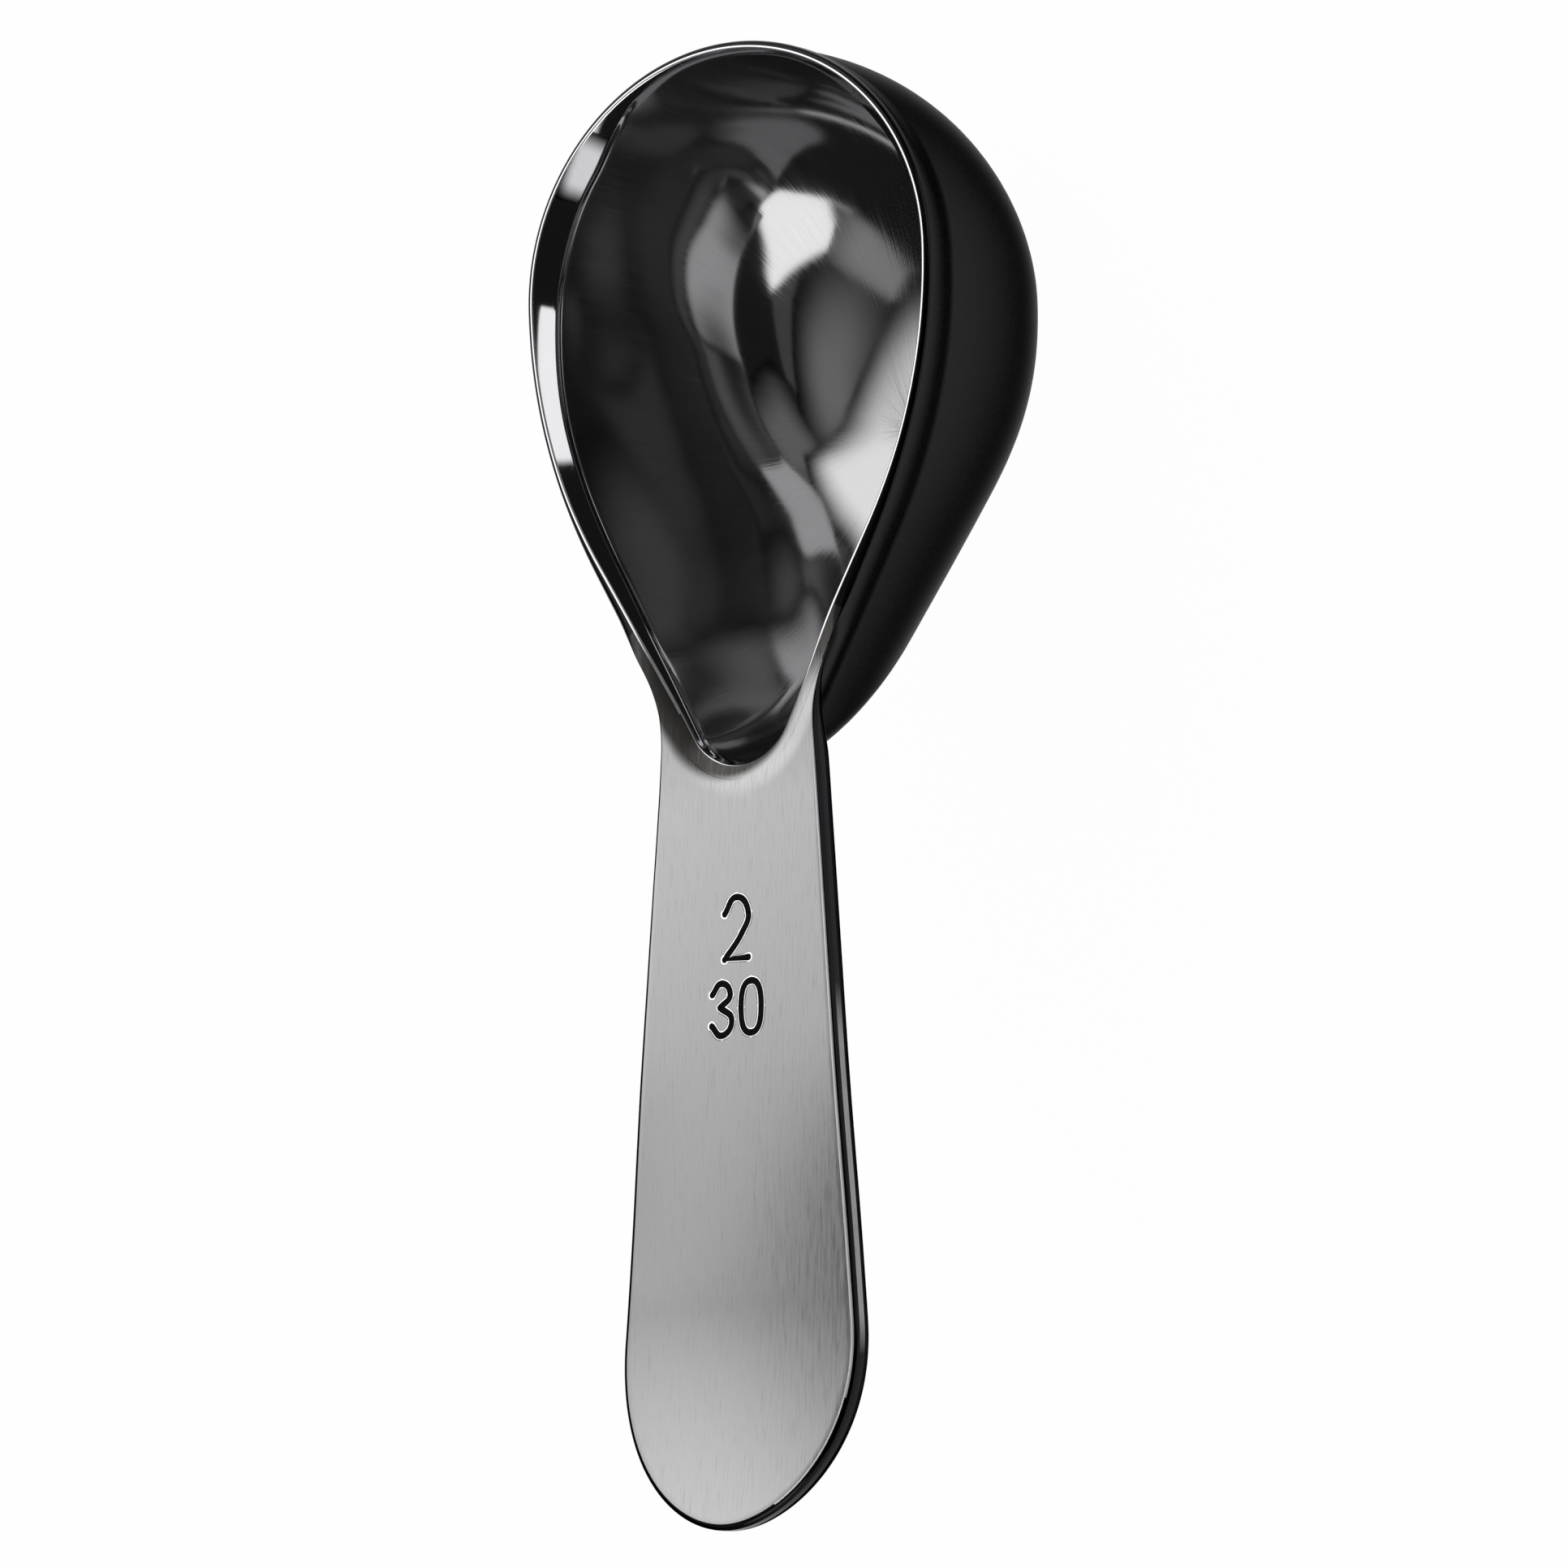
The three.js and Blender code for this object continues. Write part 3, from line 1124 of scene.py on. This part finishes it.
@dataclass
class Numbers:
    """Plain laser-marked numbers on the handle's face, each stroke black with a thin bright border."""

    top: TopFace
    rows: tuple[tuple[Digit, ...], ...] = ((Digit.TWO,), (Digit.THREE, Digit.NOUGHT))
    row_y: tuple[float, ...] = (-49.3 * MM, -55.4 * MM)
    row_height: tuple[float, ...] = (4.95 * MM, 4.2 * MM)
    digit_share: float = 0.48
    pitch_share: float = 0.7
    stroke: float = 0.56 * MM
    border: float = 0.12 * MM
    border_lift: float = 0.004 * MM
    stroke_lift: float = 0.008 * MM
    flatten: float = 0.01
    fineness: int = 10
    pen_rounds: int = 3
    knot_segments: tuple[int, int] = (16, 8)

    def trace(self, name: str, width: float) -> bpy.types.Object:
        """Draws every number with one pen width and lays the strokes on the handle.

        Args:
            name: the object's name.
            width: the pen's width.

        Returns:
            The strokes' object.
        """
        pen = bpy.data.curves.new(name, "CURVE")
        pen.dimensions = "3D"
        pen.bevel_depth = width / 2
        pen.bevel_resolution = self.pen_rounds
        pen.use_fill_caps = True
        pen.resolution_u = self.fineness
        for digits, foot, height in zip(self.rows, self.row_y, self.row_height):
            wide, pitch = self.digit_share * height, self.pitch_share * height
            left = -0.5 * (wide + pitch * (len(digits) - 1))
            for place, digit in enumerate(digits):
                for stroke in digit.value:
                    self.draw(pen, stroke, Vector((left + place * pitch, foot, 0)), wide, height)
        drawn = bpy.data.objects.new(name, pen)
        bpy.context.scene.collection.objects.link(drawn)
        solid = bmesh.new()
        solid.from_mesh(drawn.to_mesh())
        bpy.data.objects.remove(drawn)
        round_u, round_v = self.knot_segments
        for line in pen.splines:
            for knot in line.bezier_points:
                bmesh.ops.create_uvsphere(
                    solid,
                    u_segments=round_u,
                    v_segments=round_v,
                    radius=width / 2,
                    matrix=Matrix.Translation(knot.co),
                )
        bmesh.ops.recalc_face_normals(solid, faces=solid.faces)
        lift = self.border_lift if width > self.stroke else self.stroke_lift
        for vert in solid.verts:
            vert.co.z = self.top.height(vert.co) + lift + self.flatten * vert.co.z
        return as_object(name, solid)

    def draw(self, pen: bpy.types.Curve, stroke: Stroke, corner: Vector, wide: float, height: float) -> None:
        """Adds one stroke to the pen's curve.

        Args:
            pen: the curve.
            stroke: the stroke in its box.
            corner: the box's lower left corner on the handle.
            wide: the box's width.
            height: the box's height.
        """
        line = pen.splines.new("BEZIER")
        line.bezier_points.add(len(stroke.points) - 1)
        line.use_cyclic_u = stroke.closed
        for index, (x, y) in enumerate(stroke.points):
            knot = line.bezier_points[index]
            knot.co = corner + Vector((x * wide, y * height, 0))
            kind = "VECTOR" if index in stroke.corners else "AUTO"
            knot.handle_left_type = knot.handle_right_type = kind

    def build(self) -> list[tuple[bpy.types.Object, Finish]]:
        """Makes the bright borders and the black strokes over them.

        Returns:
            Each object with its finish.
        """
        return [
            (self.trace("number_borders", self.stroke + 2 * self.border), BRIGHT_BORDER),
            (self.trace("number_strokes", self.stroke), BLACK_MARK),
        ]

    def dress(self, pieces: list[tuple[bpy.types.Object, Finish]]) -> None:
        """Gives the numbers their finishes and their place in the frame.

        Args:
            pieces: the objects with their finishes.
        """
        for piece, finish in pieces:
            piece.data.materials.append(finish.material())
            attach(piece, "root")


def lay_plan(mesh: bmesh.types.BMesh, top: TopFace) -> None:
    """Gives a mesh a map of its place from above, in millimetres, that the brushing runs along.

    Each point also gets its share of painted shade round the bowl's tip.

    Args:
        mesh: the bmesh that gets the map.
        top: the scoop's top, which knows the painted shade.
    """
    darkening = mesh.verts.layers.float.new(DARKENING_MAP)
    for vert in mesh.verts:
        vert[darkening] = top.darkening(vert.co)
    plan = mesh.loops.layers.uv.new(PLAN_MAP)
    for face in mesh.faces:
        for loop in face.loops:
            loop[plan].uv = (loop.vert.co.x / MM, loop.vert.co.y / MM)


def as_object(name: str, mesh: bmesh.types.BMesh) -> bpy.types.Object:
    """Turns a bmesh into an object in the scene and frees it.

    Args:
        name: the object's name.
        mesh: the finished bmesh.

    Returns:
        The new object.
    """
    data = bpy.data.meshes.new(name)
    mesh.to_mesh(data)
    mesh.free()
    made = bpy.data.objects.new(name, data)
    bpy.context.scene.collection.objects.link(made)
    return made


@dataclass(frozen=True)
class Softbox:
    """One soft lamp, as it looks from the bowl.

    The azimuth runs from +X towards +Y and the spans are its width and height, all in degrees. A glow of
    1 is white, the distance is in metres, and over the fade, a share of each side, it dims to the border.
    """

    name: str
    azimuth: float
    elevation: float
    spans: tuple[float, float]
    glow: float
    distance: float
    fade: float


@dataclass
class Studio:
    """The camera, the pale floor and the soft lamps."""

    tilt_side: float = math.radians(37.0)
    tilt_back: float = math.radians(7.955)
    roll: float = math.radians(1.55)
    distance: float = 0.8
    pixels_per_mm: float = 15.4
    slide: tuple[float, float] = (-3.86 * MM, 4.65 * MM)
    aim: tuple[float, float, float] = (0.0, -30.5 * MM, 28.3 * MM)
    clip: tuple[float, float] = (0.01, 100.0)
    floor_size: float = 40.0
    paper: str = "#f4f4f4"
    paper_glow: float = 0.98
    room: str = "#202020"
    lamp_aim: tuple[float, float, float] = (0.0, 0.0, 22 * MM)
    ceiling_height: float = 1.5
    ceiling_size: float = 2.0
    ceiling_shift: tuple[float, float] = (-0.35, -0.25)
    ceiling_glow: float = 0.1
    lamps: tuple[Softbox, ...] = (
        Softbox("left_softbox", 133.5, 41, (91, 62), 2.1, 0.38, fade=0.28),
        Softbox("back_softbox", -88, 37, (44, 40), 2.3, 1.0, fade=0.12),
        Softbox("back_strip", -55, 17, (30, 16), 1.4, 1.0, fade=0.3),
        Softbox("right_strip", 25, 15, (30, 14), 1.9, 1.0, fade=0.06),
        Softbox("left_glow", 165, 80, (76, 50), 0.35, 0.9, fade=0.45),
        Softbox("left_fill", -145, 48, (60, 40), 0.5, 1.0, fade=0.4),
        Softbox("front_fill", 50, 45, (60, 50), 0.28, 1.0, fade=0.4),
    )

    def build_camera(self) -> None:
        """Makes the camera at the photograph's angle."""
        turn = Matrix.Rotation(self.roll, 3, "Z")
        turn = turn @ Matrix.Rotation(-self.tilt_back, 3, "X") @ Matrix.Rotation(-self.tilt_side, 3, "Y")
        back = turn.transposed()
        data = bpy.data.cameras.new("camera")
        data.sensor_width = SENSOR_WIDTH
        data.lens = self.pixels_per_mm * self.distance / MM * SENSOR_WIDTH / IMAGE_PIXELS
        data.clip_start, data.clip_end = self.clip
        camera = bpy.data.objects.new("camera", data)
        offset = back @ Vector((-self.slide[0], -self.slide[1], self.distance))
        camera.matrix_world = Matrix.Translation(Vector(self.aim) + offset) @ back.to_4x4()
        bpy.context.scene.collection.objects.link(camera)
        bpy.context.scene.camera = camera

    def build_floor(self) -> None:
        """Makes the floor, white to the camera and in every mirror, with a faint shadow."""
        plane = bmesh.new()
        bmesh.ops.create_grid(plane, x_segments=1, y_segments=1, size=self.floor_size / 2)
        floor = as_object("floor", plane)
        made, tree = new_material("white_paper_sweep")
        path = add_node(tree, "ShaderNodeLightPath").outputs
        seen = path["Is Camera Ray"]
        for ray in ("Is Glossy Ray", "Is Transmission Ray"):
            either = add_node(tree, "ShaderNodeMath", {"operation": "MAXIMUM"}, {0: seen, 1: path[ray]})
            seen = either.outputs[0]
        share = add_node(tree, "ShaderNodeMath", {"operation": "MULTIPLY", 1: self.paper_glow}, {0: seen})
        paper = add_node(tree, "ShaderNodeBsdfDiffuse", {"Color": linear(self.paper)})
        glow = add_node(tree, "ShaderNodeEmission", {"Color": linear(WHITE)})
        feeds = {index: node.outputs[0] for index, node in enumerate((share, paper, glow))}
        both = add_node(tree, "ShaderNodeMixShader", None, feeds)
        add_node(tree, "ShaderNodeOutputMaterial", None, {"Surface": both.outputs[0]})
        floor.data.materials.append(made)

    def build_lamp(self, lamp: Softbox) -> None:
        """Hangs one soft box that faces the bowl, a glowing card that fades towards its borders.

        Args:
            lamp: the soft box.
        """
        turn, climb = math.radians(lamp.azimuth), math.radians(lamp.elevation)
        way = Vector((math.cos(turn) * math.cos(climb), math.sin(turn) * math.cos(climb), math.sin(climb)))
        across = Vector((math.sin(turn), -math.cos(turn), 0))
        upward = way.cross(across)
        half = [lamp.distance * math.tan(math.radians(span / 2)) for span in lamp.spans]
        card = bmesh.new()
        card.loops.layers.uv.new("face")
        bmesh.ops.create_grid(card, x_segments=1, y_segments=1, size=1.0, calc_uvs=True)
        centre = Vector(self.lamp_aim) + lamp.distance * way
        for vert in card.verts:
            vert.co = centre + vert.co.x * half[0] * across + vert.co.y * half[1] * upward
        piece = as_object(lamp.name, card)
        piece.data.materials.append(self.lamp_cloth(lamp))
        piece.visible_camera = False
        piece.visible_shadow = False

    def lamp_cloth(self, lamp: Softbox) -> bpy.types.Material:
        """The glowing cloth of a soft box.

        Args:
            lamp: the soft box.

        Returns:
            The new material.
        """
        made, tree = new_material(lamp.name + "_cloth")
        place = add_node(tree, "ShaderNodeTexCoord").outputs["UV"]
        sides = add_node(tree, "ShaderNodeSeparateXYZ", None, {"Vector": place}).outputs
        fades = []
        for side, brightest in ((sides["X"], lamp.glow), (sides["Y"], 1.0)):
            far = add_node(tree, "ShaderNodeMath", {"operation": "SUBTRACT", 0: 1.0}, {1: side}).outputs[0]
            near = add_node(tree, "ShaderNodeMath", {"operation": "MINIMUM"}, {0: side, 1: far}).outputs[0]
            fade = add_node(
                tree,
                "ShaderNodeMapRange",
                {"interpolation_type": "SMOOTHSTEP", "From Max": lamp.fade, "To Max": brightest},
                {"Value": near},
            )
            fades.append(fade.outputs["Result"])
        level = add_node(tree, "ShaderNodeMath", {"operation": "MULTIPLY"}, {0: fades[0], 1: fades[1]})
        glow = add_node(tree, "ShaderNodeEmission", {"Color": linear(WHITE)}, {"Strength": level.outputs[0]})
        add_node(tree, "ShaderNodeOutputMaterial", None, {"Surface": glow.outputs[0]})
        return made

    def build_light(self) -> None:
        """Hangs the lamps and darkens the room behind them."""
        world = bpy.data.worlds.new("dim_room")
        world.use_nodes = True
        world.node_tree.nodes["Background"].inputs["Color"].default_value = linear(self.room)
        bpy.context.scene.world = world
        dim = bpy.data.lights.new("ceiling_bounce", "AREA")
        dim.size = self.ceiling_size
        dim.energy = self.ceiling_glow * math.pi * self.ceiling_size**2
        ceiling = bpy.data.objects.new("ceiling_bounce", dim)
        ceiling.visible_camera = False
        ceiling.location = (*self.ceiling_shift, self.ceiling_height)
        bpy.context.scene.collection.objects.link(ceiling)
        for lamp in self.lamps:
            self.build_lamp(lamp)


def main() -> None:
    """Builds the stage and the scoop's pieces in order."""
    logging.basicConfig(level=logging.INFO, format="%(name)s: %(message)s")
    bpy.context.scene.view_settings.view_transform = "Standard"
    studio = Studio()
    studio.build_camera()
    studio.build_floor()
    studio.build_light()
    plan = BowlPlan()
    top = TopFace(plan)
    for part in (Bowl(plan, top), Handle(plan, top)):
        piece = part.build()
        part.dress(piece)
        log.info("%s has %d faces", piece.name, len(piece.data.polygons))
    numbers = Numbers(top)
    marks = numbers.build()
    numbers.dress(marks)
    for piece, finish in marks:
        log.info("%s in %s has %d faces", piece.name, finish.name, len(piece.data.polygons))


if __name__ == "__main__":
    main()
